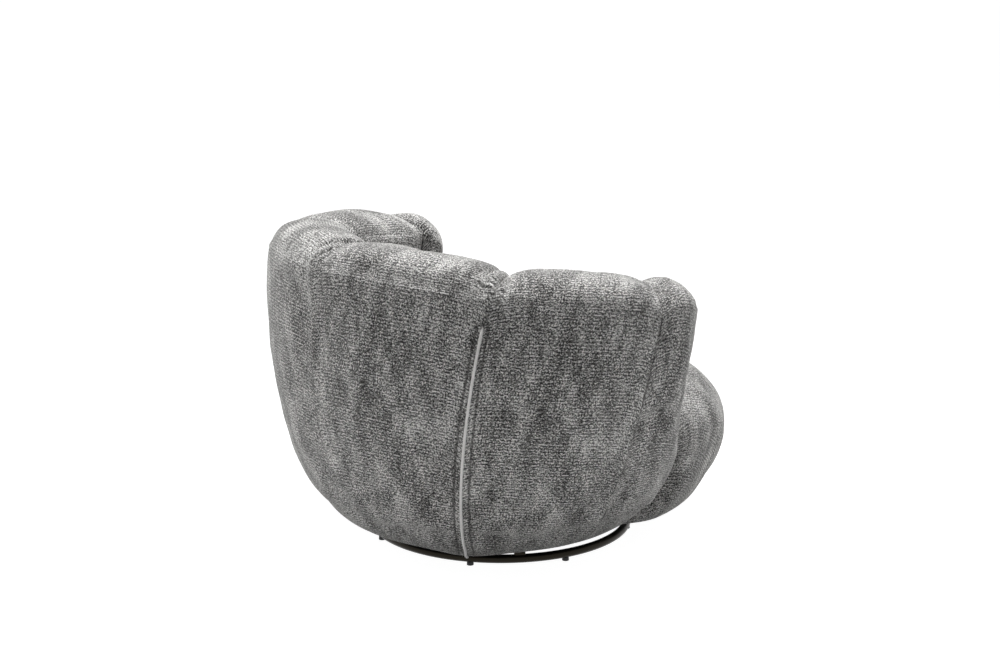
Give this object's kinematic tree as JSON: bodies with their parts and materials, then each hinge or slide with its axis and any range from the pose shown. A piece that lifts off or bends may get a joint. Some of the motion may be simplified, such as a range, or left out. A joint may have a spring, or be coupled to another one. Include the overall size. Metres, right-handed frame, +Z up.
{
  "type": "swivel cuddle chair",
  "caption": "Wide round upholstered swivel armchair with a padded tub wall of tall rounded lobes, a deep crowned seat cushion and a low black steel ring base.",
  "frame": {"origin": "on the floor under the swivel axis", "axes": "+Z up, the sitter faces -Y, +X to the sitter's left"},
  "size_m": [1.1444, 1.0572, 0.749],
  "materials": {
    "chenille": "coarse grey melange chenille",
    "powder_coat": "black powder coat, satin",
    "zinc_plate": "zinc plated",
    "glide_plastic": "matt black",
    "timber": "plain plywood and solid timber",
    "webbing": "woven elastic",
    "dust_cloth": "thin black non-woven cloth"
  },
  "bodies": {
    "base": {"floor_ring": "powder_coat", "cross_arm_long": "powder_coat", "cross_arm_half_a": "powder_coat", "cross_arm_half_b": "powder_coat", "foot_glide_1": "glide_plastic", "foot_glide_2": "glide_plastic", "foot_glide_3": "glide_plastic", "foot_glide_4": "glide_plastic", "foot_glide_5": "glide_plastic", "foot_glide_6": "glide_plastic", "swivel_lower_plate": "zinc_plate", "arm_bolt_1": "zinc_plate", "arm_bolt_2": "zinc_plate", "arm_bolt_3": "zinc_plate", "arm_bolt_4": "zinc_plate", "centre_pivot": "zinc_plate"},
    "ball_ring": {"ball_cage": "zinc_plate", "bearing_ball_1": "zinc_plate", "bearing_ball_2": "zinc_plate", "bearing_ball_3": "zinc_plate", "bearing_ball_4": "zinc_plate", "bearing_ball_5": "zinc_plate", "bearing_ball_6": "zinc_plate", "bearing_ball_7": "zinc_plate", "bearing_ball_8": "zinc_plate"},
    "tub": {"swivel_upper_plate": "zinc_plate", "plate_bolt_1": "zinc_plate", "plate_bolt_2": "zinc_plate", "plate_bolt_3": "zinc_plate", "plate_bolt_4": "zinc_plate", "base_board": "timber", "dust_cover": "dust_cloth", "seat_hoop": "timber", "webbing_length_1": "webbing", "webbing_length_2": "webbing", "webbing_length_3": "webbing", "webbing_length_4": "webbing", "webbing_length_5": "webbing", "webbing_cross_1": "webbing", "webbing_cross_2": "webbing", "webbing_cross_3": "webbing", "top_rail": "timber", "back_rib": "timber", "left_quarter_rib": "timber", "left_side_rib": "timber", "right_quarter_rib": "timber", "right_side_rib": "timber", "back_cushion_left": "chenille", "side_cushion_left": "chenille", "arm_cushion_left": "chenille", "back_cushion_right": "chenille", "side_cushion_right": "chenille", "arm_cushion_right": "chenille", "closing_welt_left": "chenille", "closing_welt_right": "chenille", "seat_cushion": "chenille"}
  },
  "joints": [
    {"name": "seat_swivel", "type": "hinge", "parent": "base", "child": "tub", "pos_m": [0, 0, 0.0437], "axis": [0, 0, 1], "continuous": true},
    {"name": "cage_turn", "type": "hinge", "parent": "base", "child": "ball_ring", "pos_m": [0, 0, 0.0437], "axis": [0, 0, 1], "continuous": true}
  ],
  "couplings": [
    {"joint": "cage_turn", "follows": "seat_swivel", "ratio": 0.5}
  ]
}
